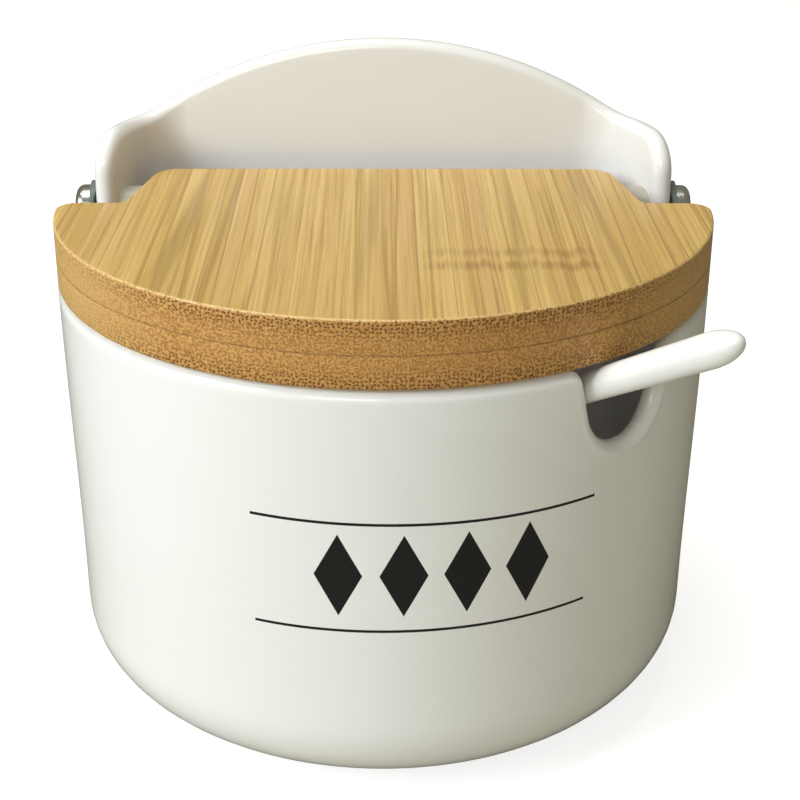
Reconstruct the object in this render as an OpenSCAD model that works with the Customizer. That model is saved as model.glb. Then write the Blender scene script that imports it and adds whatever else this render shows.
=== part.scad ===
// Salt box: a glazed ceramic pot with a round front and a scooped back, a bamboo
// lid that swings on two screws between the ears of the back, and a ceramic spoon
// that leans out through a notch in the rim. Millimetres, +Z up. The origin is on
// the base, below the centre of the round front, and the front faces -Y.

/* [Pot] */
// Radius of the round front of the pot
pot_r = 62; // [58:0.5:66]
// Height of the rim that the lid closes on
rim_h = 83; // [78:0.5:90]
// Distance from the centre of the round front back to the flat back
back_y = 34; // [32:0.5:38]
// Half width of the pot across its two ears
ear_x = 55.1; // [54:0.1:58]
// Radius of the two upright corners of the back
corner_r = 15; // [13:0.5:22]
// Radius of the shoulders, where the round front turns into the sides
shoulder_r = 25; // [20:0.5:30]
// Distance of the shoulders in front of the centre of the round front
shoulder_y = 4; // [2:0.5:8]
// Thickness of the wall
wall = 4; // [3.5:0.1:5.5]
// Thickness of the floor
floor_t = 6; // [4:0.5:9]
// Amount by which each side draws in from the rim to the foot
side_taper = 1; // [0:0.25:2.5]
// Width of the curve that rounds the foot
foot_w = 21; // [14:0.5:24]
// Height of the curve that rounds the foot
foot_h = 17; // [12:0.5:22]

/* [Scooped back] */
// Height of the top of the arch
back_h = 120.5; // [116:0.5:124]
// Radius of the arch
arch_r = 83; // [76:0.5:92]
// Height of the top of the ears
ear_h = 104.8; // [102:0.2:105.4]
// Distance of the front edge of the ears behind the centre of the round front
ear_y = 12.5; // [11:0.25:13]
// Rounding of the upper front corner of each ear
ear_round = 8; // [5:0.5:10]
// Fillet from the rim up to the front edge of each ear
ear_fillet = 8; // [4:0.5:10]

/* [Spoon notch] */
// Angle of the notch, from the front of the pot round to the right
notch_angle = 41.5; // [36:0.5:48]
// Width of the notch at the rim
notch_w = 19.6; // [18:0.2:22]
// Radius of the bottom of the notch
notch_r = 8.5; // [7:0.25:9]
// Depth of the notch below the rim
notch_depth = 16; // [13:0.5:20]

/* [Lid] */
// Thickness of each of the two bamboo plies
ply_t = 6.1; // [5:0.1:6.5]
// Gap between the rim and the closed lid
lid_gap = 0.3; // [0.2:0.05:0.6]
// Overhang of the lid past the round front of the pot
lid_overhang = 0; // [0:0.1:1.5]
// Rounding of the two rear corners of the wide part of the lid
wide_round = 4; // [2:0.5:6]
// Half width of the lid's tab where it leaves the wide part
tab_front_x = 49.5; // [47:0.1:50]
// Half width of the lid's tab at its rear end
tab_rear_x = 46.3; // [44:0.1:47]
// Distance of the tab's rear edge behind the centre of the round front
tab_y = 23.4; // [22:0.2:24]
// Rounding of the tab's rear corners
tab_round = 5; // [2:0.5:7]

/* [Hinge] */
// Distance of the hinge axis behind the centre of the round front
hinge_y = 17.6; // [17.4:0.1:18.5]
// Radius of each hinge screw
screw_r = 2; // [1.5:0.1:2.5]
// Length of screw that is driven into the lid
screw_grip = 14; // [10:0.5:18]
// Radius of the screw head
head_r = 4.2; // [3.6:0.1:4.6]
// Height of the screw head
head_t = 3; // [2.2:0.1:3.6]
// Width of the rounding round the screw head
dome_w = 1.9; // [1:0.1:2.4]
// Height of that rounding
dome_h = 1.6; // [1:0.1:2]
// Width of the cross slot in the screw head
slot_w = 0.9; // [0.6:0.1:1.2]
// Depth of the cross slot in the screw head
slot_d = 1.2; // [0.8:0.1:1.6]
// Radial clearance of the screws in the ears, the washers and the spacers
screw_play = 0.1; // [0.05:0.01:0.1]
// Radius of the rubber washer under each screw head
washer_r = 5.1; // [4.7:0.1:5.2]
// Least thickness of that washer, at its front edge
washer_t = 0.6; // [0.5:0.1:1.2]
// Radius of the spacer between each ear and the lid
spacer_r = 4; // [3.4:0.1:4.4]
// End gap between the parts that turn and the parts that stay still
end_gap = 0.3; // [0.2:0.05:0.5]

/* [Spoon] */
// Tilt of the handle above the horizontal
handle_tilt = 30.2; // [28:0.2:32]
// Depth of the handle's centre line below the rim, where it leaves the wall
handle_drop = 3.1; // [3:0.1:4]
// Length of handle that stands out past the wall
handle_out = 26.7; // [20:0.1:34]
// Radius of the handle at its free end
tip_r = 3; // [2.6:0.1:3.4]
// Radius of the handle inside the pot and of the neck
neck_r = 2.3; // [2:0.1:2.4]
// Distance of the bend in the neck from the centre of the round front
bend_s = 30; // [27:0.5:33]
// Radius of the bend in the neck
bend_r = 40; // [34:1:44]
// Slope of the neck below the bend
neck_tilt = 58; // [54:1:62]
// Outer radius of the bowl
bowl_r = 14; // [12:0.5:15]
// Thickness of the bowl
bowl_t = 2.2; // [1.8:0.1:3]
// Slope of the bowl's rim
bowl_tilt = 30; // [25:1:38]
// Gap between the spoon and what it leans and stands on
spoon_gap = 0.3; // [0.2:0.05:0.6]

/* [Hidden] */

// Facets of the pot's plan, of small rounds and of spheres
plan_fn = 64;
round_fn = 48;
ball_fn = 96;
// Steps in the curve of the foot and of the screw heads, and in the spoon's end
foot_steps = 6;
end_steps = 9;
// How far cutters reach past what they cut
past = 1;
// Least radius of a round of the pot, so that the flat base reaches its axis
axis_r = 0.4;
// How much the balls at the spoon's two joints stand proud, so that they fuse
joint_swell = 0.04;
left = -1;
right = 1;

// The hinge axis runs along X through the seam between the two plies
lid_z = rim_h + lid_gap;
hinge_z = lid_z + ply_t;
lid_r = pot_r + lid_overhang;

// Half width of the tab at a distance behind the centre of the round front
function tab_x(y) = tab_front_x + (tab_rear_x - tab_front_x) * y / (tab_y - tab_round);

// The side of the pot's plan is the line that touches the shoulder and the corner
side_run = back_y - corner_r + shoulder_y;
side_in = (pot_r - shoulder_r) - (ear_x - corner_r);
side_lean = atan(side_in / side_run)
    + asin((shoulder_r - corner_r) / norm([side_run, side_in]));

// Half width of the outside of that side at a distance behind the centre
function side_x(y) = pot_r - shoulder_r + shoulder_r * cos(side_lean)
    - (y + shoulder_y - shoulder_r * sin(side_lean)) * tan(side_lean);

// Where the screw heads, washers and spacers end along X
washer_x = side_x(hinge_y - washer_r) + washer_t;
head_x = washer_x + end_gap / 2;
spacer_x = tab_x(hinge_y - spacer_r) + end_gap;
screw_x = tab_x(hinge_y) - screw_grip;

// The spoon lies in an upright plane beside the middle of the notch. In that plane,
// s is the distance outwards from the centre of the round front
handle_h = rim_h - handle_drop;
handle_slope = tan(handle_tilt);
tip_s = pot_r + handle_out - tip_r;
tip_z = handle_h + (tip_s - pot_r) * handle_slope;
bend_z = handle_h - (pot_r - bend_s) * handle_slope;
bend_cs = bend_s + bend_r * sin(handle_tilt);
bend_cz = bend_z - bend_r * cos(handle_tilt);
neck_s = bend_cs - bend_r * sin(neck_tilt);
neck_z = bend_cz + bend_r * cos(neck_tilt);

// The handle leans against the notch's side nearer the front, at the height where it
// meets the inside of the wall
wall_r = neck_r + (tip_r - neck_r) * (pot_r - bend_s) / (tip_s - bend_s);
lean_z = handle_h - wall * handle_slope - wall_r;
notch_low = rim_h - notch_depth + notch_r;
notch_flank = notch_r + (notch_w / 2 - notch_r) * (lean_z - notch_low) / (rim_h - notch_low);
spoon_x = -(notch_flank - spoon_gap - wall_r);

// The bowl stands just above the floor, below the end of the neck
bowl_z = floor_t + spoon_gap + bowl_r;
mid_r = bowl_r - bowl_t / 2;
neck_end_z = bowl_z + mid_r * sin(bowl_tilt);
neck_len = (neck_z - neck_end_z) / sin(neck_tilt);
bowl_s = neck_s - neck_len * cos(neck_tilt) - mid_r * cos(bowl_tilt);

// Half of an upright section through a round of the pot: the foot curves out to the
// side, and the side spreads by side_taper up to the rim
module drum(r, inset, bottom, top) {
    foot_r = r - side_taper - foot_w;
    curve = [for (i = [0 : foot_steps]) let (a = 90 * i / foot_steps)
        [max(foot_r + (foot_w - inset) * sin(a), axis_r), bottom + (foot_h - inset) * (1 - cos(a))]];
    rotate_extrude($fn = plan_fn)
        polygon(concat([[0, bottom]], curve,
            [[r - inset, rim_h], [r - inset, top], [0, top]]));
}

// The whole form of the pot, drawn in by inset: a round front, two shoulders and two
// back corners, joined by flat sides and a flat back
module pot_form(inset, bottom) {
    top = back_h + past;
    hull() {
        intersection() {
            drum(pot_r, inset, bottom, top);
            translate([-2 * pot_r, -2 * pot_r, 0])
                cube([4 * pot_r, 2 * pot_r - shoulder_y, top]);
        }
        for (side = [left, right]) {
            translate([side * (pot_r - shoulder_r), -shoulder_y, 0])
                drum(shoulder_r, inset, bottom, top);
            translate([side * (ear_x - corner_r), back_y - corner_r, 0])
                drum(corner_r, inset, bottom, top);
        }
    }
}

// Front view of the scooped back: an arch over the level ears
module back_outline() {
    intersection() {
        union() {
            translate([0, back_h - arch_r])
                circle(arch_r, $fn = 2 * plan_fn);
            translate([-pot_r, 0])
                square([2 * pot_r, ear_h]);
        }
        translate([-pot_r - past, 0])
            square([2 * (pot_r + past), back_h + past]);
    }
}

// Side view of the rim and one ear: level in front, then a fillet up to the ear's
// front edge and a rounded corner at its top
module ear_outline() {
    square_y = ear_y + ear_round;
    translate([-pot_r - past, -past])
        square([pot_r + back_y + 2 * past, rim_h + past]);
    difference() {
        translate([ear_y - ear_fillet, rim_h - past])
            square([ear_fillet + past, ear_fillet + past]);
        translate([ear_y - ear_fillet, rim_h + ear_fillet])
            circle(ear_fillet, $fn = round_fn);
    }
    translate([ear_y, 0])
        square([ear_round + past, ear_h - ear_round]);
    translate([square_y, ear_h - ear_round])
        circle(ear_round, $fn = round_fn);
    translate([square_y, 0])
        square([back_y - square_y + past, back_h + past]);
}

// The rim, the ears and the arch as one cutter that keeps what lies below them
module keep_below_edges() {
    intersection() {
        translate([0, back_y + past, 0])
            rotate([90, 0, 0])
                linear_extrude(pot_r + back_y + 2 * past)
                    union() {
                        back_outline();
                        translate([-pot_r - past, 0])
                            square([2 * (pot_r + past), rim_h]);
                    }
        rotate([90, 0, 90])
            translate([0, 0, -pot_r - past])
                linear_extrude(2 * (pot_r + past))
                    ear_outline();
    }
}

// A bar along X on the hinge axis, from x1 to x2 on one side
module hinge_bar(side, r, x1, x2) {
    translate([side * (x1 + x2) / 2, hinge_y, hinge_z])
        rotate([0, 90, 0])
            cylinder(h = x2 - x1, r = r, center = true, $fn = round_fn);
}

// The notch as seen from outside: a round bottom that opens out to the rim
module notch_outline() {
    translate([0, notch_low])
        circle(notch_r, $fn = round_fn);
    polygon([[-notch_r, notch_low], [notch_r, notch_low], [notch_w / 2, rim_h],
        [notch_w / 2, rim_h + past], [-notch_w / 2, rim_h + past], [-notch_w / 2, rim_h]]);
}

module notch() {
    rotate([0, 0, notch_angle])
        translate([0, -pot_r + 2 * wall, 0])
            rotate([90, 0, 0])
                linear_extrude(3 * wall)
                    notch_outline();
}

// Slip-cast pot with its scooped back, glazed all over
module pot() {
    color("whitesmoke")
        difference() {
            intersection() {
                pot_form(0, 0);
                keep_below_edges();
            }
            pot_form(wall, floor_t);
            notch();
            hinge_bar(right, screw_r + screw_play, -pot_r - past, pot_r + past);
        }
}

// Plan of the lid: a half round over the front of the pot and a narrower tab
// that reaches back between the ears
module lid_outline() {
    intersection() {
        circle(lid_r, $fn = 2 * plan_fn);
        union() {
            translate([-lid_r, -lid_r])
                square([2 * lid_r, lid_r - wide_round]);
            translate([-lid_r + wide_round, -lid_r])
                square([2 * (lid_r - wide_round), lid_r]);
            for (side = [left, right])
                translate([side * (lid_r - wide_round), -wide_round])
                    circle(wide_round, $fn = round_fn);
        }
    }
    polygon([[-tab_front_x, 0], [-tab_front_x, -past], [tab_front_x, -past], [tab_front_x, 0],
        [tab_rear_x, tab_y - tab_round], [-tab_rear_x, tab_y - tab_round]]);
    translate([-tab_rear_x + tab_round, tab_y - tab_round - past])
        square([2 * (tab_rear_x - tab_round), tab_round + past]);
    for (side = [left, right])
        translate([side * (tab_rear_x - tab_round), tab_y - tab_round])
            circle(tab_round, $fn = round_fn);
}

// One ply of the lid, with its half of the two screw holes
module ply(z) {
    difference() {
        translate([0, 0, z])
            linear_extrude(ply_t)
                lid_outline();
        for (side = [left, right])
            hinge_bar(side, screw_r, screw_x, pot_r);
    }
}

module lid_lower_ply() {
    color("burlywood") ply(lid_z);
}

module lid_upper_ply() {
    color("tan") ply(lid_z + ply_t);
}

// Pan-head screw that is driven into the edge of the lid and turns with it
module hinge_screw(side) {
    dome = [for (i = [0 : foot_steps]) let (a = 90 * i / foot_steps)
        [head_r - dome_w * (1 - cos(a)), head_t - dome_h * (1 - sin(a))]];
    color("silver")
        translate([0, hinge_y, hinge_z])
            rotate([0, side * 90, 0])
                difference() {
                    union() {
                        translate([0, 0, screw_x])
                            cylinder(h = head_x + past - screw_x, r = screw_r, $fn = round_fn);
                        translate([0, 0, head_x])
                            rotate_extrude($fn = round_fn)
                                polygon(concat([[0, 0], [head_r, 0]], dome, [[0, head_t]]));
                    }
                    for (turn = [45, 135])
                        translate([0, 0, head_x + head_t])
                            rotate([0, 0, turn])
                                cube([head_r, slot_w, 2 * slot_d], center = true);
                }
}

module hinge_screw_left() hinge_screw(left);
module hinge_screw_right() hinge_screw(right);

// Rubber washer: flat under the screw head, shaped to the ear on its other face
module outer_washer(side) {
    color("dimgray")
        difference() {
            hinge_bar(side, washer_r, ear_x - corner_r, washer_x);
            pot_form(0, 0);
            hinge_bar(side, screw_r + screw_play, 0, pot_r);
        }
}

module outer_washer_left() outer_washer(left);
module outer_washer_right() outer_washer(right);

// Rubber spacer that keeps the lid in the middle: shaped to the inside of the ear,
// flat towards the lid
module inner_spacer(side) {
    color("dimgray")
        difference() {
            intersection() {
                hinge_bar(side, spacer_r, spacer_x, pot_r);
                pot_form(wall, floor_t);
            }
            hinge_bar(side, screw_r + screw_play, 0, pot_r);
        }
}

module inner_spacer_left() inner_spacer(left);
module inner_spacer_right() inner_spacer(right);

// Draws its children, laid out with s along X and height along Y, in the upright
// plane of the spoon
module spoon_plane() {
    rotate([0, 0, notch_angle])
        translate([spoon_x, 0, 0])
            rotate([0, 0, -90])
                rotate([90, 0, 0])
                    children();
}

// The spoon's handle, upright: it swells from the neck to a rounded end
module handle() {
    length = norm([tip_s - bend_s, tip_z - bend_z]);
    end = [for (i = [1 : end_steps - 1]) let (a = 90 * i / end_steps)
        [tip_r * cos(a), length + tip_r * sin(a)]];
    rotate_extrude($fn = round_fn)
        polygon(concat([[0, 0], [neck_r, 0], [tip_r, length]], end, [[0, length + tip_r]]));
}

// Ceramic spoon: a tapering handle, a bent neck and a round bowl
module spoon() {
    color("whitesmoke")
        spoon_plane()
            difference() {
                union() {
                    translate([bend_s, bend_z, 0])
                        rotate([0, 0, handle_tilt])
                            rotate([0, 90, 0])
                                handle();
                    translate([bend_cs, bend_cz, 0])
                        rotate([0, 0, 90 + handle_tilt])
                            rotate_extrude(angle = neck_tilt - handle_tilt, $fn = 3 * round_fn)
                                translate([bend_r, 0])
                                    circle(neck_r, $fn = round_fn);
                    translate([neck_s, neck_z, 0])
                        rotate([0, 0, 180 + neck_tilt])
                            rotate([0, 90, 0])
                                cylinder(h = neck_len, r = neck_r, $fn = round_fn);
                    for (end = [[bend_s, bend_z], [neck_s, neck_z]])
                        translate(end)
                            sphere(neck_r + joint_swell, $fn = ball_fn);
                    difference() {
                        translate([bowl_s, bowl_z, 0])
                            sphere(bowl_r, $fn = ball_fn);
                        translate([bowl_s, bowl_z, 0])
                            rotate([0, 0, bowl_tilt])
                                translate([-2 * bowl_r, 0, -2 * bowl_r])
                                    cube(4 * bowl_r);
                    }
                }
                translate([bowl_s, bowl_z, 0])
                    sphere(bowl_r - bowl_t, $fn = ball_fn);
            }
}

pot();
lid_lower_ply();
lid_upper_ply();
hinge_screw_left();
hinge_screw_right();
outer_washer_left();
outer_washer_right();
inner_spacer_left();
inner_spacer_right();
spoon();
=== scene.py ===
import math

import bpy
import numpy as np
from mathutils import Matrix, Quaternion, Vector


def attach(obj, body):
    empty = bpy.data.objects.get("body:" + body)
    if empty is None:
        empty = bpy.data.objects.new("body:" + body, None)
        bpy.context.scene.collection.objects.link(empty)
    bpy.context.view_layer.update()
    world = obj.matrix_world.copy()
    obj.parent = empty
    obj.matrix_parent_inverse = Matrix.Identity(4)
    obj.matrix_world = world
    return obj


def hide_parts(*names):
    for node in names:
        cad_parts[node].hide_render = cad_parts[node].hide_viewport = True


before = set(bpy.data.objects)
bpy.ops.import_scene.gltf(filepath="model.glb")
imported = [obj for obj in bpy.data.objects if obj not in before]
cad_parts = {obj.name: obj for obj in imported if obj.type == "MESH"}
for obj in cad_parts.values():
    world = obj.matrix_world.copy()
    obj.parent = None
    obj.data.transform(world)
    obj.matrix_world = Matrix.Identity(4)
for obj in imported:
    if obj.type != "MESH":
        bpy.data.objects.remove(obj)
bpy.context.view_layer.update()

MM = 0.001

# --- Camera, table and light ---------------------------------------------------------
# The box stands on a plain white table. The camera looks down on it from the front, a
# large soft window is on its left, a weaker one over it and the weakest in front.

camera_data = bpy.data.cameras.new("camera")
camera_data.sensor_width = 36
camera_data.lens = 72.6
camera_data.clip_start = 0.01
camera = bpy.data.objects.new("camera", camera_data)
bpy.context.scene.collection.objects.link(camera)
bpy.context.scene.camera = camera
camera_place = Vector((-0.00083, -0.29629, 0.18666))
camera_target = Vector((0.00323, 0, 0.0542))
camera_roll = Quaternion((0, 0, 1), math.radians(0.287))
camera.rotation_mode = "QUATERNION"
camera.location = camera_place
camera.rotation_quaternion = (camera_target - camera_place).to_track_quat("-Z", "Y") @ camera_roll
bpy.context.scene.view_settings.view_transform = "Standard"


def add_node(tree, kind, inputs=None, **settings):
    """Adds one shader node.

    inputs maps a socket's name or number to a value, or to the socket that feeds it.
    """
    made = tree.nodes.new("ShaderNode" + kind)
    for name, value in settings.items():
        setattr(made, name, value)
    for name, value in (inputs or {}).items():
        if isinstance(value, bpy.types.NodeSocket):
            tree.links.new(value, made.inputs[name])
        else:
            made.inputs[name].default_value = value
    return made


def new_material(name):
    """A material with a bare node tree and its output node."""
    material = bpy.data.materials.new(name)
    material.use_nodes = True
    material.node_tree.nodes.clear()
    return material, material.node_tree, add_node(material.node_tree, "OutputMaterial")


def math_out(tree, operation, first, second=0.0, third=0.0, clamp=False):
    """The output socket of one Math node."""
    made = add_node(tree, "Math", {0: first, 1: second, 2: third}, operation=operation, use_clamp=clamp)
    return made.outputs[0]


def seen_mask(tree):
    """One where the camera looks, straight or through glass, and nought for light that bounces."""
    path = add_node(tree, "LightPath")
    return math_out(tree, "MAXIMUM", path.outputs["Is Camera Ray"], path.outputs["Is Transmission Ray"])


def mesh_object(name, points, faces, smooth=True):
    """An object at the origin whose mesh has these points, in millimetres, and these faces."""
    mesh = bpy.data.meshes.new(name)
    mesh.from_pydata((np.asarray(points) * MM).tolist(), [], faces)
    mesh.update()
    mesh.polygons.foreach_set("use_smooth", [smooth] * len(mesh.polygons))
    made = bpy.data.objects.new(name, mesh)
    bpy.context.scene.collection.objects.link(made)
    return made


table_half = 4000
table_z = -0.05
table_corners = [[-table_half, -table_half, table_z], [table_half, -table_half, table_z],
                 [table_half, table_half, table_z], [-table_half, table_half, table_z]]
table = mesh_object("table_top", table_corners, [[0, 1, 2, 3]], smooth=False)

# Bounced and mirrored light meets a greyer table than the camera sees, so that it does
# not wash out the shaded side of the box
white_table, tree, output = new_material("white_table")
mirrored = add_node(tree, "LightPath").outputs["Is Glossy Ray"]
bounced_tone = (0.56, 0.54, 0.46, 1)
mirrored_tone = (0.22, 0.21, 0.17, 1)
table_tone = add_node(tree, "Mix", {0: mirrored, 6: bounced_tone, 7: mirrored_tone}, data_type="RGBA")
paint = add_node(tree, "BsdfDiffuse", {"Color": table_tone.outputs[2]})
shaded = add_node(tree, "BsdfDiffuse", {"Color": (0.4, 0.4, 0.4, 1)})
glow = add_node(tree, "Emission", {"Color": (1, 1, 1, 1), "Strength": 0.8})
seen = add_node(tree, "AddShader", {0: shaded.outputs[0], 1: glow.outputs[0]})
both = add_node(tree, "MixShader", {0: seen_mask(tree), 1: paint.outputs[0], 2: seen.outputs[0]})
tree.links.new(both.outputs[0], output.inputs["Surface"])
table.data.materials.append(white_table)

world = bpy.data.worlds.new("studio")
bpy.context.scene.world = world
world.use_nodes = True
tree = world.node_tree
tree.nodes.clear()
walls = add_node(tree, "Background", {"Color": (1, 0.94, 0.69, 1), "Strength": 0.2})
backdrop = add_node(tree, "Background", {"Color": (1, 1, 1, 1), "Strength": 1.0})
both = add_node(tree, "MixShader", {0: seen_mask(tree), 1: walls.outputs[0], 2: backdrop.outputs[0]})
add_node(tree, "OutputWorld", {"Surface": both.outputs[0]})


lamp_aim = Vector((0, 0, 0.06))


def soft_window(name, place, width, height, power, tint):
    """A rectangular lamp at place that faces the middle of the box."""
    lamp = bpy.data.lights.new(name, "AREA")
    lamp.shape = "RECTANGLE"
    lamp.size = width
    lamp.size_y = height
    lamp.energy = power
    lamp.color = tint
    made = bpy.data.objects.new(name, lamp)
    bpy.context.scene.collection.objects.link(made)
    made.location = place
    made.rotation_mode = "QUATERNION"
    made.rotation_quaternion = (lamp_aim - Vector(place)).to_track_quat("-Z", "Y")


soft_window("window_left", (-0.89, -0.53, 0.6), width=0.5, height=0.6, power=10.7, tint=(0.88, 0.955, 1))
soft_window("window_above", (-0.15, -0.1, 1.1), width=0.5, height=0.5, power=6.7, tint=(1, 0.98, 0.94))
soft_window("window_front", (-0.25, -1.07, 0.5), width=0.5, height=0.3, power=2.1, tint=(1, 1, 1))

# --- Pot -----------------------------------------------------------------------------
# Slip-cast stoneware, glazed white inside and out: a round front, two rounded rear
# corners and a flat back that rises in an arch between two ears. The rim is a soft
# round lip that dips on the right in a notch for the spoon.

pot_r = 62
rim_h = 83
back_y = 34
ear_x = 55.1
corner_r = 15
shoulder_r = 25
shoulder_y = 4
wall = 4
floor_t = 6
side_taper = 1
least_r = 0.4
foot_w = 21
foot_h = 17
back_h = 120.2
arch_r = 83
ear_h = 104.8
ear_y = 12.5
ear_round = 8
notch_angle = 41.5
notch_depth = 16
notch_r = 8.5
notch_top = 9.8

# The straight side between corner and shoulder touches both of their rounds, and so does
# the one between shoulder and front: how far the two lean, in degrees
side_run = back_y - corner_r + shoulder_y
side_in = (pot_r - shoulder_r) - (ear_x - corner_r)
side_lean = math.degrees(
    math.atan(side_in / side_run) + math.asin((shoulder_r - corner_r) / math.hypot(side_run, side_in)))
front_lean = math.degrees(2 * math.atan2(shoulder_y, pot_r - shoulder_r))

# Each stretch of the plan: centre and radius where it starts, centre and radius where
# it ends, and the directions that it faces, from the middle of the back round by the
# left, the front and the right
middle_back = (0, back_y - corner_r, corner_r)
corner = (corner_r - ear_x, back_y - corner_r, corner_r)
shoulder = (shoulder_r - pot_r, -shoulder_y, shoulder_r)
front = (0, 0, pot_r)
side_turn = 180 - side_lean
front_turn = 180 + front_lean
left_half = [
    (middle_back, corner, 90, 90), (corner, corner, 90, side_turn), (corner, shoulder, side_turn, side_turn),
    (shoulder, shoulder, side_turn, front_turn), (shoulder, front, front_turn, front_turn),
    (front, front, front_turn, 270)]
right_half = [((-b[0], b[1], b[2]), (-a[0], a[1], a[2]), 540 - turn_b, 540 - turn_a)
              for a, b, turn_a, turn_b in reversed(left_half)]


def plan_table(stretches, middle):
    """Samples the plan.

    Each row holds the distance along the middle of the wall, the centre's x and y, the
    radius and the direction. All of them go evenly from one end of a stretch to the other.
    """
    share = np.linspace(0, 1, 200)[:, None]
    rows = []
    for start, end, start_turn, end_turn in stretches:
        place = np.array(start) + (np.array(end) - np.array(start)) * share
        rows.append(np.hstack([place, start_turn + (end_turn - start_turn) * share]))
    rows = np.vstack(rows)
    turn = np.radians(rows[:, 3])
    at = rows[:, :2] + (rows[:, 2] - middle)[:, None] * np.c_[np.cos(turn), np.sin(turn)]
    along = np.r_[0, np.cumsum(np.hypot(*np.diff(at, axis=0).T))]
    keep = np.r_[True, np.diff(along) > 1e-9]
    return np.c_[along, rows][keep]


plan = plan_table(left_half + right_half, wall / 2)
plan_length = plan[-1, 0]


def plan_at(along):
    """Centre x and y, radius and direction in radians at distances along the wall, round and round."""
    along = np.mod(along, plan_length)
    cx, cy, r, turn = [np.interp(along, plan[:, 0], plan[:, k]) for k in (1, 2, 3, 4)]
    return cx, cy, r, np.radians(turn)


def wall_point(along, height, inset):
    """Points on the wall: the plan's centre plus its radius, less inset, in the direction that it faces."""
    cx, cy, r, turn = plan_at(along)
    reach = np.maximum(r - inset, least_r)
    return np.stack([cx + reach * np.cos(turn), cy + reach * np.sin(turn), height + 0 * reach], -1)


def along_where(y, low, high):
    """Distance along the wall, between low and high, where its middle has that y."""
    along = np.linspace(low, high, 4000)
    off = wall_point(along, 0, wall / 2)[:, 1] - y
    return along[np.argmin(np.abs(off))]


def rounded_line(corners):
    """A line through corners (x, y, radius), each rounded by an arc that touches both of its sides."""
    corners = np.array(corners, float)
    line = [corners[0, :2]]
    for before, here, after in zip(corners[:-2], corners[1:-1], corners[2:]):
        to_before = (before[:2] - here[:2]) / np.hypot(*(before[:2] - here[:2]))
        to_after = (after[:2] - here[:2]) / np.hypot(*(after[:2] - here[:2]))
        half = math.acos(np.clip(to_before @ to_after, -1, 1)) / 2
        middle = (to_before + to_after) / np.hypot(*(to_before + to_after))
        centre = here[:2] + middle * here[2] / math.sin(half)
        start = here[:2] + to_before * here[2] / math.tan(half) - centre
        end = here[:2] + to_after * here[2] / math.tan(half) - centre
        share = np.linspace(0, 1, 25)[:, None]
        swing = np.pi - 2 * half
        arc = (np.sin((1 - share) * swing) * start + np.sin(share * swing) * end) / math.sin(swing)
        line.extend(centre + arc)
    line.append(corners[-1, :2])
    return np.array(line)


def even_steps(line, count, closed=False):
    """The same line with its points spaced evenly."""
    if closed:
        line = np.vstack([line, line[:1]])
    run = np.r_[0, np.cumsum(np.hypot(*np.diff(line, axis=0).T))]
    new = np.linspace(0, run[-1], count, endpoint=not closed)
    return np.stack([np.interp(new, run, line[:, k]) for k in range(line.shape[1])], -1)


# The rim, unrolled: distance along the wall, height and radius of each of its corners.
# It steps down in front of the ears and dips in the notch, whose right flank is wider.
side_low = 0.35 * plan_length / 4
side_high = 1.5 * plan_length / 4
ear_step = 0.35
ear_back = along_where(ear_y + ear_step, side_low, side_high)
ear_front = along_where(ear_y - ear_step, side_low, side_high)
notch_at = plan_length / 2 + math.radians(notch_angle) * (pot_r - wall / 2)
notch_foot_left = 6
notch_foot_right = 7
notch_foot_round = 8.2
notch_left_round = 3.6
notch_right_round = 9
notch_flare = 3
notch_floor = rim_h - notch_depth
rim_line = rounded_line([
    (0, ear_h, 0),
    (ear_back, ear_h, ear_round),
    (ear_front, rim_h, ear_round),
    (notch_at - notch_top, rim_h, notch_left_round),
    (notch_at - notch_foot_left, notch_floor, notch_foot_round),
    (notch_at + notch_foot_right, notch_floor, notch_foot_round),
    (notch_at + notch_top + notch_flare, rim_h, notch_right_round),
    (plan_length - ear_front, rim_h, ear_round),
    (plan_length - ear_back, ear_h, ear_round),
    (plan_length, ear_h, 0)])

# The arch rises out of the ears: the height over the ears is that of a circle, let in
# smoothly where it crosses their level
columns = 660
rim = even_steps(rim_line, columns + 1)[:-1]
rim_x = wall_point(rim[:, 0], 0, wall / 2)[:, 0]
over_ears = back_h - arch_r + np.sqrt(arch_r ** 2 - rim_x ** 2) - ear_h
blend_h = 1.6
lift = (over_ears + np.sqrt(over_ears ** 2 + blend_h ** 2)) / 2
on_ears = np.clip((rim[:, 1] - ear_h + ear_round) / ear_round, 0, 1)
rim[:, 1] += lift * on_ears ** 2


def round_slope(values, wrap):
    """Change per step of a closed run of values that grows by wrap each time round."""
    ahead = np.roll(values, -1)
    ahead[-1] += wrap
    behind = np.roll(values, 1)
    behind[0] -= wrap
    return (ahead - behind) / 2


slope = np.stack([round_slope(rim[:, 0], plan_length), round_slope(rim[:, 1], 0)], -1)
slope /= np.hypot(*slope.T)[:, None]
rim_up = np.c_[-slope[:, 1], slope[:, 0]]
lip_r = wall / 2
lip = rim - lip_r * rim_up

# Down the wall, each column of points runs from the lip to the foot. There the columns
# stand at nearly even distances again: how far each is off is smoothed over its
# neighbours by a bell curve.
column = np.arange(columns)
even_along = column * plan_length / columns
spread_columns = 9.0
spread = np.exp(-0.5 * (np.minimum(column, columns - column) / spread_columns) ** 2)
drift = np.fft.ifft(np.fft.fft(lip[:, 0] - even_along) * np.fft.fft(spread / spread.sum())).real
foot_along = drift + even_along


def side_inset(height):
    """How far the side is drawn in below the rim: an S-curve from nothing to side_taper."""
    down = np.clip((rim_h - height) / (rim_h - foot_h), 0, 1)
    return side_taper * down * down * (3 - 2 * down)


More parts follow.
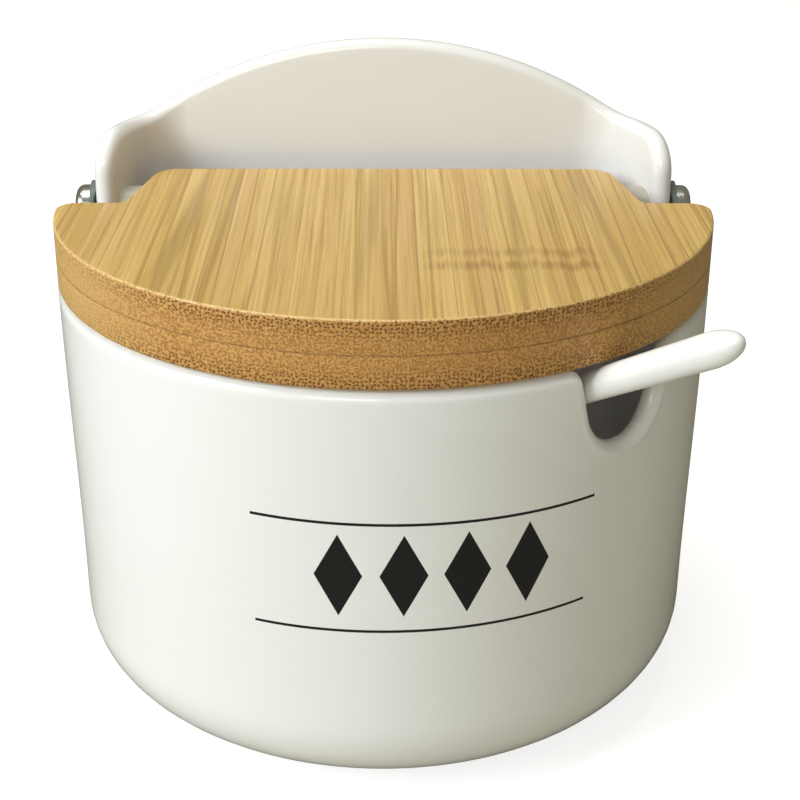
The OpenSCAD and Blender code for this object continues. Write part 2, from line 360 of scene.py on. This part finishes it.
def wall_rows(low, base_inset, count):
    """Rows of wall points from just below the lip down to the height low.

    Distance along the wall and height go evenly from those of the lip to those of the
    foot, and the rows stand closer near the lip.
    """
    share = (np.arange(1, count + 1) / count)[:, None] ** 1.25
    along = lip[:, 0] + (foot_along - lip[:, 0]) * share
    height = lip[:, 1] + (low - lip[:, 1]) * share
    return wall_point(along, height, base_inset + side_inset(height))


def foot_rows(bottom, width, height, base_inset, count):
    """Rows round the foot: a quarter of an ellipse from the side in to the base.

    Where the round of the plan is too small for the whole quarter it ends early, and is
    let down on to the base by the square of the share that it has run.
    """
    room = plan_at(foot_along)[2] - least_r - base_inset - side_taper
    fits = np.minimum(room / width, 1)
    end_turn = np.arcsin(1 - fits)
    early = height * (1 - np.cos(end_turn))
    share = (np.arange(1, count + 1) / count)[:, None]
    turn = np.pi / 2 + (end_turn - np.pi / 2) * share
    run = 1 - np.sin(turn)
    rise = height * (1 - np.cos(turn)) - early * (run / fits) ** 2
    return wall_point(foot_along + 0 * turn, bottom + rise, base_inset + side_taper + width * run)


def disc_rows(edge, centre, shares):
    """Rows that shrink a closed edge towards a centre."""
    return np.stack([centre + (edge - centre) * share for share in shares])


# The lip is half a tube: its middle line plus its radius, turned from outward over the
# rim's own upward direction to inward
turns = np.pi * np.arange(0, 17) / 16
facing = plan_at(lip[:, 0])[3]
outward = np.stack([np.cos(facing), np.sin(facing), 0 * facing], -1)
forward = np.stack([-np.sin(facing), np.cos(facing), 0 * facing], -1)
upward = rim_up[:, :1] * forward + rim_up[:, 1:] * np.array([0, 0, 1])
lip_middle = wall_point(lip[:, 0], lip[:, 1], lip_r)
turned = np.cos(turns)[:, None, None] * outward + np.sin(turns)[:, None, None] * upward
lip_rows = lip_middle + lip_r * turned

outside = wall_rows(foot_h, 0, 34)
outside_foot = foot_rows(0, foot_w, foot_h, 0, 16)
inside = wall_rows(floor_t + foot_h - wall, wall, 26)
inside_foot = foot_rows(floor_t, foot_w - wall, foot_h - wall, wall, 12)
base_centre = np.array([0, 3, 0])
floor_centre = np.array([0, 3, floor_t])
base_shares = [0.2, 0.5, 0.8, 0.97]
pot_rows = np.concatenate([
    disc_rows(outside_foot[-1], base_centre, base_shares), outside_foot[::-1], outside[::-1],
    lip_rows, inside, inside_foot, disc_rows(inside_foot[-1], floor_centre, base_shares[::-1])])


def closed_rows(name, rows, first, last):
    """A closed skin: rows of points that each go round, joined into squares, and a fan at each end."""
    many, around = rows.shape[:2]
    here = np.arange(many * around).reshape(many, around)
    ahead = np.roll(here, -1, axis=1)
    squares = np.stack([here[:-1], ahead[:-1], ahead[1:], here[1:]], -1).reshape(-1, 4)
    points = np.vstack([rows.reshape(-1, 3), first, last])
    low_fan = np.stack([ahead[0], here[0], np.full(around, many * around)], -1)
    high_fan = np.stack([here[-1], ahead[-1], np.full(around, many * around + 1)], -1)
    return mesh_object(name, points, squares.tolist() + low_fan.tolist() + high_fan.tolist())


pot = closed_rows("glazed_pot", pot_rows, base_centre, floor_centre)


def new_group(name, inputs, outputs):
    """A shader node group with named float, vector or colour sockets, and its input and output nodes."""
    group = bpy.data.node_groups.new(name, "ShaderNodeTree")
    for socket, kind in inputs:
        group.interface.new_socket(socket, in_out="INPUT", socket_type="NodeSocket" + kind)
    for socket, kind in outputs:
        group.interface.new_socket(socket, in_out="OUTPUT", socket_type="NodeSocket" + kind)
    return group, group.nodes.new("NodeGroupInput"), group.nodes.new("NodeGroupOutput")


# The glaze pools and thins a little, so its white wavers, and it lies in long soft
# waves with a few pinholes
glaze_skin, taken, given = new_group(
    "glaze_skin", [("Place", "Vector"), ("White", "Color"), ("Thin white", "Color")],
    [("Color", "Color"), ("Roughness", "Float"), ("Height", "Float")])
pool = add_node(glaze_skin, "TexNoise", {"Vector": taken.outputs["Place"], "Scale": 24, "Detail": 3})
waves = add_node(glaze_skin, "TexNoise", {"Vector": taken.outputs["Place"], "Scale": 60, "Detail": 1})
pits = add_node(glaze_skin, "TexVoronoi", {"Vector": taken.outputs["Place"], "Scale": 160})
pit = math_out(glaze_skin, "LESS_THAN", pits.outputs["Distance"], 0.035)
tint = add_node(
    glaze_skin, "Mix", {0: pool.outputs[0], 6: taken.outputs["White"], 7: taken.outputs["Thin white"]},
    data_type="RGBA")
dull = add_node(glaze_skin, "MapRange", {0: pool.outputs[0], 3: 0.07, 4: 0.13})
swell = math_out(glaze_skin, "SUBTRACT", waves.outputs[0], math_out(glaze_skin, "MULTIPLY", pit, 0.15))
glaze_skin.links.new(tint.outputs[2], given.inputs["Color"])
glaze_skin.links.new(dull.outputs[0], given.inputs["Roughness"])
glaze_skin.links.new(swell, given.inputs["Height"])


def glaze_nodes(tree):
    """Object coordinates and a glaze_skin node that reads them."""
    place = add_node(tree, "TexCoord")
    skin = tree.nodes.new("ShaderNodeGroup")
    skin.node_tree = glaze_skin
    skin.inputs["White"].default_value = (0.84, 0.84, 0.83, 1)
    skin.inputs["Thin white"].default_value = (0.8, 0.795, 0.775, 1)
    tree.links.new(place.outputs["Object"], skin.inputs["Place"])
    return place, skin


white_glaze, tree, output = new_material("white_glaze")
place, skin = glaze_nodes(tree)
axes = add_node(tree, "SeparateXYZ", {0: place.outputs["Object"]})

# Black print under the glaze: two thin lines round the front and four upright lozenges
# between them. It is laid out by angle from the front, in degrees, and by height, in
# millimetres.
angle = math_out(tree, "ARCTAN2", axes.outputs[0], math_out(tree, "MULTIPLY", axes.outputs[1], -1.0))
angle = math_out(tree, "MULTIPLY", angle, 180 / math.pi)
height = math_out(tree, "MULTIPLY", axes.outputs[2], 1000.0)
edge_soft = 0.06


def line_mask(at_height, climb, start, end, thick):
    """One on a thin line that goes round from start to end degrees."""
    middle = math_out(tree, "MULTIPLY_ADD", angle, climb, at_height)
    off = math_out(tree, "ABSOLUTE", math_out(tree, "SUBTRACT", height, middle))
    near = math_out(tree, "DIVIDE", math_out(tree, "SUBTRACT", thick / 2, off), edge_soft, clamp=True)
    aside = math_out(tree, "ABSOLUTE", math_out(tree, "SUBTRACT", angle, (start + end) / 2))
    return math_out(tree, "MULTIPLY", near, math_out(tree, "LESS_THAN", aside, (end - start) / 2))


def lozenge_reach(at_angle, half_width, at_height, half_height):
    """Distance from a lozenge's centre, one at its edge."""
    aside = math_out(tree, "ABSOLUTE", math_out(tree, "SUBTRACT", angle, at_angle))
    off = math_out(tree, "ABSOLUTE", math_out(tree, "SUBTRACT", height, at_height))
    aside_share = math_out(tree, "DIVIDE", aside, half_width)
    return math_out(tree, "ADD", aside_share, math_out(tree, "DIVIDE", off, half_height))


upper_line = line_mask(at_height=59.1, climb=-0.011, start=-21.5, end=35.8, thick=0.6)
lower_line = line_mask(at_height=38.3, climb=0.0, start=-21.4, end=35.0, thick=0.6)
print_mask = math_out(tree, "MAXIMUM", upper_line, lower_line)
nearest = 10.0
for lozenge_angle in (-7.4, 3.0, 13.2, 23.4):
    reach = lozenge_reach(lozenge_angle, half_width=3.9, at_height=49.2, half_height=8)
    nearest = math_out(tree, "MINIMUM", nearest, reach)
lozenges = math_out(tree, "DIVIDE", math_out(tree, "SUBTRACT", 1.0, nearest), 0.02, clamp=True)
print_mask = math_out(tree, "MAXIMUM", print_mask, lozenges)
flat = add_node(tree, "CombineXYZ", {0: axes.outputs[0], 1: axes.outputs[1]})
from_axis = add_node(tree, "VectorMath", {0: flat.outputs[0]}, operation="LENGTH")
on_outside = math_out(tree, "GREATER_THAN", from_axis.outputs["Value"], (pot_r - wall / 2) * MM)
print_mask = math_out(tree, "MULTIPLY", print_mask, on_outside)
bare_below = 0.12
bare_foot = math_out(tree, "LESS_THAN", axes.outputs[2], bare_below * MM)
black_ink = (0.008, 0.008, 0.009, 1)
bare_clay = (0.6, 0.56, 0.5, 1)
inked = add_node(tree, "Mix", {0: print_mask, 6: skin.outputs["Color"], 7: black_ink}, data_type="RGBA")
footed = add_node(tree, "Mix", {0: bare_foot, 6: inked.outputs[2], 7: bare_clay}, data_type="RGBA")
rough = math_out(tree, "MULTIPLY_ADD", bare_foot, 0.7, skin.outputs["Roughness"])
bump = add_node(tree, "Bump", {"Strength": 1.0, "Distance": 0.00006, "Height": skin.outputs["Height"]})
shader = add_node(tree, "BsdfPrincipled", {
    "Base Color": footed.outputs[2], "Roughness": rough, "Normal": bump.outputs[0], "IOR": 1.5})
tree.links.new(shader.outputs[0], output.inputs["Surface"])
pot.data.materials.append(white_glaze)
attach(pot, "box")
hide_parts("pot")

# --- Lid -----------------------------------------------------------------------------
# Two plies of bamboo board glued face to face and cut to one outline: a half round
# over the front of the pot and a narrower tab between the ears. The fibres run from
# front to back, so the curved edge shows their cut ends.

lid_z = 83.3
ply_t = 6.1
seam_z = lid_z + ply_t
lid_top = lid_z + 2 * ply_t
lid_r = 62
wide_round = 4
tab_front_x = 49.5
tab_rear_x = 46.3
tab_y = 23.4
tab_round = 5
tab_fillet = 2.2
tab_slant = math.degrees(math.atan((tab_front_x - tab_rear_x) / (tab_y - tab_round)))


def arc_points(cx, cy, r, start, end):
    """Points on an arc between two angles in degrees, about every three degrees."""
    turn = np.radians(np.linspace(start, end, max(int(abs(end - start) / 3), 2) + 1))
    return np.stack([cx + r * np.cos(turn), cy + r * np.sin(turn)], -1)


wide_x = math.sqrt((lid_r - wide_round) ** 2 - wide_round ** 2)
wide_turn = math.degrees(math.atan(wide_round / wide_x))
slant = math.radians(tab_slant)
fillet_x = tab_front_x + tab_fillet / math.cos(slant) - tab_fillet * math.tan(slant)
front_outline = arc_points(0, 0, lid_r, 180 + wide_turn, 360 - wide_turn)
right_outline = np.vstack([
    arc_points(wide_x, -wide_round, wide_round, -wide_turn, 90),
    arc_points(fillet_x, tab_fillet, tab_fillet, 270, 180 + tab_slant),
    arc_points(tab_rear_x - tab_round, tab_y - tab_round, tab_round, tab_slant, 90)])
left_outline = right_outline[::-1] * [-1, 1]
lid_outline = even_steps(np.vstack([front_outline, right_outline, left_outline]), 520, closed=True)
edge_run = (np.roll(lid_outline, -1, axis=0) - np.roll(lid_outline, 1, axis=0)) / 2
edge_run /= np.hypot(*edge_run.T)[:, None]
lid_out = np.c_[edge_run[:, 1], -edge_run[:, 0]]
lid_centre = np.array([0, -12])


def ply_skin(name, bottom, low_round, high_round):
    """A flat board: the outline drawn in and out by a quarter turn at its lower and upper edges."""
    turn = np.linspace(0, np.pi / 2, 6)
    low = np.c_[low_round * (1 - np.sin(turn)), bottom + low_round * (1 - np.cos(turn))]
    high = np.c_[high_round * (1 - np.cos(turn)), bottom + ply_t - high_round * (1 - np.sin(turn))]
    middle = np.c_[[0, 0, 0], bottom + ply_t * np.array([0.3, 0.5, 0.7])]
    profile = np.vstack([low, middle, high])
    edge = lid_outline[None] - profile[:, 0, None, None] * lid_out[None]
    edge = np.concatenate([edge, 0 * edge[..., :1] + profile[:, 1, None, None]], -1)
    low_face = np.r_[lid_centre, bottom]
    high_face = np.r_[lid_centre, bottom + ply_t]
    shares = [0.15, 0.4, 0.7, 0.93, 0.99]
    rows = np.concatenate([
        disc_rows(edge[0], low_face, shares), edge, disc_rows(edge[-1], high_face, shares[::-1])])
    return closed_rows(name, rows, low_face, high_face)


lower_ply = ply_skin("bamboo_lower_ply", lid_z, low_round=0.7, high_round=0.1)
upper_ply = ply_skin("bamboo_upper_ply", seam_z, low_round=0.1, high_round=0.5)

# Bamboo is pale honey-coloured wood full of dark fibre bundles, which crowd towards
# the skin of the cane. Cut along, they are streaks, and cut across, dots. Pith and Skin
# are the heights of the board's two faces, Shift moves the pattern sideways, and the last
# input sets how strongly a painted highlight pales the rounded upper edge.
bamboo, taken, given = new_group(
    "bamboo",
    [("Place", "Vector"), ("Facing", "Vector"), ("Pith", "Float"), ("Skin", "Float"), ("Shift", "Float"),
     ("Edge highlight", "Float")],
    [("Color", "Color"), ("Roughness", "Float"), ("Height", "Float")])
spot = add_node(bamboo, "SeparateXYZ", {0: taken.outputs["Place"]})
look = add_node(bamboo, "SeparateXYZ", {0: taken.outputs["Facing"]})
across = math_out(bamboo, "ADD", spot.outputs[0], taken.outputs["Shift"])
lengthwise = spot.outputs[1]
upright = spot.outputs[2]
sideways_look = math_out(bamboo, "ABSOLUTE", look.outputs[0])
upward_look = math_out(bamboo, "ABSOLUTE", look.outputs[2])
depth = add_node(bamboo, "MapRange", {
    0: upright, 1: taken.outputs["Pith"], 2: taken.outputs["Skin"]}).outputs[0]


def bamboo_math(operation, first, second=0.0, third=0.0, clamp=False):
    """The output socket of one Math node of the bamboo group."""
    return math_out(bamboo, operation, first, second, third, clamp)


def stretched(scale_x, scale_y, scale_z):
    """Place with each axis scaled by itself, in cells per metre."""
    return add_node(bamboo, "CombineXYZ", {
        0: bamboo_math("MULTIPLY", across, scale_x), 1: bamboo_math("MULTIPLY", lengthwise, scale_y),
        2: bamboo_math("MULTIPLY", upright, scale_z)}).outputs[0]


def ramp(factor, low, high, from_low, from_high):
    """Goes from low to high, eased, while the factor goes from from_low to from_high."""
    return add_node(bamboo, "MapRange", {0: factor, 1: from_low, 2: from_high, 3: low, 4: high},
                    interpolation_type="SMOOTHSTEP").outputs[0]


def tone(factor, first, second):
    """Mixes two colours, or a colour and a socket, by a factor."""
    return add_node(bamboo, "Mix", {0: factor, 6: first, 7: second}, data_type="RGBA").outputs[2]


def noise(place, detail, roughness=0.5):
    """Soft noise with one wave to each unit of place."""
    return add_node(bamboo, "TexNoise", {
        "Vector": place, "Scale": 1.0, "Detail": detail, "Roughness": roughness}).outputs[0]


def cells(place, randomness, feature="F1"):
    """A flat pattern of cells, one cell to each unit of place."""
    return add_node(bamboo, "TexVoronoi", {"Vector": place, "Scale": 1.0, "Randomness": randomness},
                    voronoi_dimensions="2D", feature=feature)


# Faces that look up or down are cut along the fibres: strips of a few tones with thin
# lines between them, fine pale and dark streaks in each
top_face = ramp(upward_look, 0, 1, 0.5, 0.9)
fine = noise(stretched(2600, 30, 2600), detail=2)
streaks = noise(stretched(1100, 7, 600), detail=5, roughness=0.75)
sway = noise(stretched(90, 9, 0), detail=1)
strips_per_metre = 300
strip_place = add_node(bamboo, "CombineXYZ", {
    0: bamboo_math("MULTIPLY_ADD", across, strips_per_metre, bamboo_math("MULTIPLY", sway, 0.45)),
    1: bamboo_math("MULTIPLY", lengthwise, 1.6)}).outputs[0]
strip_hue = add_node(bamboo, "SeparateColor", {0: cells(strip_place, 0.85).outputs["Color"]})
strip_edge = cells(strip_place, 0.85, feature="DISTANCE_TO_EDGE").outputs["Distance"]
line_share = ramp(strip_hue.outputs[2], 0.25, 1, 0.2, 0.8)
thin_line = bamboo_math("MULTIPLY", ramp(strip_edge, 1, 0, 0.02, 0.075), line_share)
dark_streak = bamboo_math("MAXIMUM", ramp(streaks, 0, 1, 0.56, 0.66), thin_line)
board = tone(ramp(strip_hue.outputs[0], 0, 1, 0.1, 0.9), (0.65, 0.44, 0.15, 1), (0.57, 0.36, 0.11, 1))
board = tone(ramp(strip_hue.outputs[1], 0, 0.6, 0.5, 0.9), board, (0.6, 0.375, 0.15, 1))
board = tone(ramp(fine, 0, 0.5, 0.42, 0.66), board, (0.43, 0.27, 0.08, 1))
board = tone(ramp(streaks, 0.6, 0, 0.35, 0.47), board, (0.74, 0.53, 0.22, 1))
board = tone(bamboo_math("MULTIPLY", dark_streak, 0.48), board, (0.27, 0.155, 0.036, 1))

# The rounded edge is cut across the fibres, so the bundles are dots, and paler where it
# turns to the side and runs along them
bundles_per_metre = 1450
bundle_place = add_node(bamboo, "CombineXYZ", {
    0: bamboo_math("MULTIPLY", across, bundles_per_metre),
    1: bamboo_math("MULTIPLY", upright, bundles_per_metre)}).outputs[0]
off_bundle = cells(bundle_place, 0.6).outputs["Distance"]
dot_size = ramp(depth, 0.1, 0.22, 0.0, 0.8)
off_dot = bamboo_math("DIVIDE", bamboo_math("SUBTRACT", off_bundle, dot_size), 0.15, clamp=True)
dots = bamboo_math("SUBTRACT", 1.0, off_dot)
cut_end = tone(ramp(fine, 0, 1, 0.36, 0.64), (0.6, 0.325, 0.1, 1), (0.37, 0.17, 0.042, 1))
dot_share = bamboo_math("MULTIPLY", dots, ramp(depth, 0.05, 0.9, 0.15, 0.85))
cut_end = tone(dot_share, cut_end, (0.12, 0.05, 0.012, 1))
long_grain = ramp(sideways_look, 0, 0.55, 0.5, 0.95)
cut_end = tone(long_grain, cut_end, (0.7, 0.45, 0.17, 1))
wood = tone(top_face, cut_end, board)

# A pale highlight is painted along the rounded upper edge, broken up in places, and the
# glue shows as a thin dark line between the plies
painted_edge_highlight = bamboo_math("MULTIPLY", ramp(upward_look, 0, 1, 0.25, 0.5), ramp(upward_look, 1, 0, 0.8, 0.97))
painted_edge_highlight = bamboo_math("MULTIPLY", painted_edge_highlight, ramp(fine, 0.2, 1, 0.4, 0.6))
painted_edge_highlight = bamboo_math("MULTIPLY", painted_edge_highlight, taken.outputs["Edge highlight"])
painted_edge_highlight = bamboo_math("MULTIPLY", painted_edge_highlight, ramp(depth, 0, 1, 0.5, 0.9))
wood = tone(painted_edge_highlight, wood, (0.75, 0.55, 0.26, 1))
off_seam = bamboo_math("ABSOLUTE", bamboo_math("SUBTRACT", upright, seam_z * MM))
seam = bamboo_math("MULTIPLY", ramp(off_seam, 0.6, 0, 0.00008, 0.00025), ramp(streaks, 0.3, 1, 0.4, 0.6))
wood = tone(seam, wood, (0.16, 0.08, 0.025, 1))

# Nodes of the cane: two short darker bands across a few strips, uneven from strip to strip
node_x = 0.0225
jitter = noise(stretched(330, 0, 0), detail=3)
off_node_x = bamboo_math("ABSOLUTE", bamboo_math("SUBTRACT", spot.outputs[0], node_x))
node_mask = 0.0
for node_y, strength in ((-0.0292, 0.75), (-0.0362, 1.0)):
    here_y = bamboo_math("MULTIPLY_ADD", jitter, 0.009, node_y - 0.0045)
    off_node_y = bamboo_math("ABSOLUTE", bamboo_math("SUBTRACT", lengthwise, here_y))
    node_mask = bamboo_math("MAXIMUM", node_mask, ramp(off_node_y, strength, 0, 0.0004, 0.0032))
node_mask = bamboo_math("MULTIPLY", node_mask, ramp(off_node_x, 1, 0, 0.012, 0.0175))
node_mask = bamboo_math("MULTIPLY", node_mask, ramp(streaks, 0.2, 0.75, 0.42, 0.56))
wood = tone(bamboo_math("MULTIPLY", node_mask, top_face), wood, (0.33, 0.175, 0.045, 1))
bamboo.links.new(wood, given.inputs["Color"])
bamboo.links.new(ramp(streaks, 0.36, 0.52, 0.4, 0.65), given.inputs["Roughness"])
open_pores = bamboo_math(
    "ADD", bamboo_math("MULTIPLY", dark_streak, top_face),
    bamboo_math("MULTIPLY", dots, bamboo_math("SUBTRACT", 1.0, top_face)))
bamboo.links.new(bamboo_math("SUBTRACT", 1.0, open_pores), given.inputs["Height"])


def bamboo_material(name, pith, skin, shift, edge_highlight):
    """Oiled bamboo for one ply, whose faces towards the cane's pith and skin are at these heights."""
    material, tree, output = new_material(name)
    place = add_node(tree, "TexCoord")
    grain = tree.nodes.new("ShaderNodeGroup")
    grain.node_tree = bamboo
    grain.inputs["Pith"].default_value = pith * MM
    grain.inputs["Skin"].default_value = skin * MM
    grain.inputs["Shift"].default_value = shift
    grain.inputs["Edge highlight"].default_value = edge_highlight
    tree.links.new(place.outputs["Object"], grain.inputs["Place"])
    tree.links.new(place.outputs["Normal"], grain.inputs["Facing"])
    bump = add_node(tree, "Bump", {"Strength": 0.5, "Distance": 0.00008, "Height": grain.outputs["Height"]})
    shader = add_node(tree, "BsdfPrincipled", {
        "Base Color": grain.outputs["Color"], "Roughness": grain.outputs["Roughness"],
        "Normal": bump.outputs[0], "Specular IOR Level": 0.35})
    tree.links.new(shader.outputs[0], output.inputs["Surface"])
    return material


# Only the upper ply gets the painted highlight on its rounded upper edge
lower_bamboo = bamboo_material("bamboo_lower", pith=seam_z, skin=lid_z, shift=0.31, edge_highlight=0.0)
upper_bamboo = bamboo_material("bamboo_upper", pith=seam_z, skin=lid_top, shift=0.0, edge_highlight=0.8)
lower_ply.data.materials.append(lower_bamboo)
upper_ply.data.materials.append(upper_bamboo)
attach(lower_ply, "lid")
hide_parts("lid_lower_ply")
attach(upper_ply, "lid")
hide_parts("lid_upper_ply")

# --- Hinge ---------------------------------------------------------------------------
# On each side a bright pan-head screw goes through the ear into the edge of the lid,
# with a rubber washer under its head and a rubber spacer between the ear and the lid.

bright_steel, tree, output = new_material("bright_steel")
place = add_node(tree, "TexCoord")
turned = add_node(tree, "TexNoise", {"Vector": place.outputs["Object"], "Scale": 1500, "Detail": 2})
shine = add_node(tree, "MapRange", {0: turned.outputs[0], 3: 0.16, 4: 0.3})
dull_steel = (0.62, 0.66, 0.64, 1)
clear_steel = (0.74, 0.76, 0.75, 1)
handled = add_node(tree, "Mix", {0: turned.outputs[0], 6: dull_steel, 7: clear_steel}, data_type="RGBA")
shader = add_node(tree, "BsdfPrincipled", {
    "Base Color": handled.outputs[2], "Metallic": 1.0, "Roughness": shine.outputs[0]})
tree.links.new(shader.outputs[0], output.inputs["Surface"])


def rubber_material(name, dark, light):
    """Matt rubber with a fine mottle between two tones."""
    material, tree, output = new_material(name)
    place = add_node(tree, "TexCoord")
    dusty = add_node(tree, "TexNoise", {"Vector": place.outputs["Object"], "Scale": 900, "Detail": 3})
    mottle = add_node(tree, "Mix", {0: dusty.outputs[0], 6: dark, 7: light}, data_type="RGBA")
    bump = add_node(tree, "Bump", {"Strength": 0.4, "Distance": 0.00003, "Height": dusty.outputs[0]})
    shader = add_node(tree, "BsdfPrincipled", {
        "Base Color": mottle.outputs[2], "Roughness": 0.55, "Normal": bump.outputs[0]})
    tree.links.new(shader.outputs[0], output.inputs["Surface"])
    return material


grey_rubber = rubber_material("grey_rubber", (0.08, 0.105, 0.095, 1), (0.14, 0.17, 0.155, 1))
pale_rubber = rubber_material("pale_rubber", (0.36, 0.34, 0.28, 1), (0.46, 0.44, 0.37, 1))
hinge_materials = {"hinge_screw": bright_steel, "outer_washer": grey_rubber, "inner_spacer": pale_rubber}
for side in ("left", "right"):
    for part, material in hinge_materials.items():
        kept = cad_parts[f"{part}_{side}"]
        kept.data.materials.clear()
        kept.data.materials.append(material)

# --- Spoon ---------------------------------------------------------------------------
# A little ladle of the same glazed ware. Its handle leans in the notch and thickens to
# a round end, its neck bends down inside the pot, and its round bowl stands on the floor.

handle_tilt = math.radians(30.2)
handle_drop = 3.1
handle_out = 26.7
neck_tilt = math.radians(58)
bend_s = 30
bend_r = 40
neck_r = 2.3
tip_r = 3
spoon_gap = 0.3
bowl_r = 14
bowl_t = 2.2
bowl_tilt = math.radians(30)

# Places in the upright plane of the spoon: s is the distance out from the axis of the
# pot, z the height. The handle is straight from its tip to bend_s, an arc of bend_r
# turns it down to the neck, and the neck runs straight into the edge of the bowl.
handle_h = rim_h - handle_drop
handle_slope = math.tan(handle_tilt)
tip_s = pot_r + handle_out - tip_r
tip_z = handle_h + (tip_s - pot_r) * handle_slope
bend_z = handle_h - (pot_r - bend_s) * handle_slope
bend_centre_s = bend_s + bend_r * math.sin(handle_tilt)
bend_centre_z = bend_z - bend_r * math.cos(handle_tilt)
neck_s = bend_centre_s - bend_r * math.sin(neck_tilt)
neck_z = bend_centre_z + bend_r * math.cos(neck_tilt)
bowl_in = bowl_r - bowl_t
bowl_edge = bowl_r - bowl_t / 2
bowl_z = floor_t + spoon_gap + bowl_r
neck_len = (neck_z - bowl_z - bowl_edge * math.sin(bowl_tilt)) / math.sin(neck_tilt)
bowl_s = neck_s - neck_len * math.cos(neck_tilt) - bowl_edge * math.cos(bowl_tilt)

# The handle leans on the left flank of the notch: spoon_x is how far aside it lies there
wall_r = neck_r + (tip_r - neck_r) * (pot_r - bend_s) / (tip_s - bend_s)
flank_low = rim_h - notch_depth + notch_r
flank_share = (handle_h - wall * handle_slope - wall_r - flank_low) / (rim_h - flank_low)
spoon_x = spoon_gap + wall_r - (notch_r + (notch_top - notch_r) * flank_share)


def in_spoon_plane(out, aside, up):
    """Points at a distance out from the axis, aside and up, turned round the axis to the notch."""
    turn = math.radians(notch_angle)
    x = (spoon_x + aside) * math.cos(turn) + out * math.sin(turn)
    y = (spoon_x + aside) * math.sin(turn) - out * math.cos(turn)
    return np.stack([x, y, up + 0 * x], -1)


def stem_line():
    """Middle line of the stem, tip first: rows of distance out, height and radius.

    The end is a long half round, the handle thins evenly to the bend, and the neck
    widens again by the square of its last part, where it meets the bowl.
    """
    end_long = 4
    turn = np.linspace(np.pi / 2, 0, 20)
    end_reach = (end_long + tip_r) * np.sin(turn) - end_long
    end_s = tip_s + end_reach * math.cos(handle_tilt)
    end_z = tip_z + end_reach * math.sin(handle_tilt)
    end = np.c_[end_s, end_z, tip_r * np.cos(turn)]
    straight_start = np.array([end_s[-1], end_z[-1], tip_r])
    straight_end = np.array([bend_s, bend_z, neck_r])
    straight = straight_start + (straight_end - straight_start) * np.linspace(0, 1, 60)[1:, None]
    lean = np.linspace(handle_tilt, neck_tilt, 24)[1:]
    lean_s = bend_centre_s - bend_r * np.sin(lean)
    lean_z = bend_centre_z + bend_r * np.cos(lean)
    bend = np.c_[lean_s, lean_z, neck_r + 0 * lean]
    share = np.linspace(0, 1, 30)[1:]
    widening_start = 0.6
    widening = 0.9
    wider = widening * (np.maximum(share - widening_start, 0) / (1 - widening_start)) ** 2
    neck = np.c_[
        neck_s - neck_len * math.cos(neck_tilt) * share, neck_z - neck_len * math.sin(neck_tilt) * share,
        neck_r + wider]
    line = np.vstack([end, straight, bend, neck])
    least_tip_r = 0.05
    line[0, 2] = least_tip_r
    return line


def stem_rows():
    """Rings round the middle line, square to its run: the place plus the radius turned once round."""
    line = stem_line()
    run = np.gradient(line[:, :2], axis=0)
    run /= np.hypot(*run.T)[:, None]
    spin = np.linspace(0, 2 * np.pi, 40, endpoint=False)
    radius = line[:, 2:]
    out = line[:, :1] - run[:, 1:] * radius * np.cos(spin)
    up = line[:, 1:2] + run[:, :1] * radius * np.cos(spin)
    return in_spoon_plane(out, radius * np.sin(spin), up)[:, ::-1]


def bowl_place(along, aside, up):
    """Tips the bowl so that its rim slopes up towards the handle, and stands it below the neck."""
    out = bowl_s + along * math.cos(bowl_tilt) - up * math.sin(bowl_tilt)
    return in_spoon_plane(out, aside, bowl_z + along * math.sin(bowl_tilt) + up * math.cos(bowl_tilt))


def bowl_rows():
    """The bowl's outline turned once round: half a ball outside, half a ball inside and a flat round lip."""
    turn = np.linspace(-np.pi / 2, 0, 30)
    lip_turn = np.linspace(0, np.pi, 12)[1:-1]
    lip_flat = 0.8
    lip_half = bowl_t / 2
    outline = np.vstack([
        np.c_[bowl_r * np.cos(turn), bowl_r * np.sin(turn)],
        np.c_[bowl_edge + lip_half * np.cos(lip_turn), lip_half * lip_flat * np.sin(lip_turn)],
        np.c_[bowl_in * np.cos(turn[::-1]), bowl_in * np.sin(turn[::-1])]])[1:-1]
    spin = np.linspace(0, 2 * np.pi, 72, endpoint=False)
    radius, up = outline[:, :1], outline[:, 1:]
    return bowl_place(radius * np.cos(spin), radius * np.sin(spin), up + 0 * spin)


# Stem and bowl are joined and run into one skin, as the potter's hands and the glaze do
rings = stem_rows()
stem = closed_rows("spoon_stem", rings, rings[0].mean(0), rings[-1].mean(0))
bowl = closed_rows("spoon_bowl", bowl_rows(), bowl_place(0, 0, -bowl_r), bowl_place(0, 0, -bowl_in))
both_parts = [stem, bowl]
with bpy.context.temp_override(
        active_object=stem, selected_editable_objects=both_parts, selected_objects=both_parts):
    bpy.ops.object.join()
spoon = stem
spoon.name = "glazed_spoon"
fuse = spoon.modifiers.new("fuse", "REMESH")
fuse.mode = "VOXEL"
fuse.voxel_size = 0.4 * MM
fuse.use_smooth_shade = True
soften = spoon.modifiers.new("soften", "SMOOTH")
soften.factor = 0.5
soften.iterations = 6

spoon_glaze, tree, output = new_material("spoon_glaze")
place, skin = glaze_nodes(tree)
bump = add_node(tree, "Bump", {"Strength": 1.0, "Distance": 0.00003, "Height": skin.outputs["Height"]})
shader = add_node(tree, "BsdfPrincipled", {
    "Base Color": skin.outputs["Color"], "Roughness": skin.outputs["Roughness"], "Normal": bump.outputs[0],
    "IOR": 1.5})
tree.links.new(shader.outputs[0], output.inputs["Surface"])
spoon.data.materials.append(spoon_glaze)
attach(spoon, "spoon")
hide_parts("spoon")
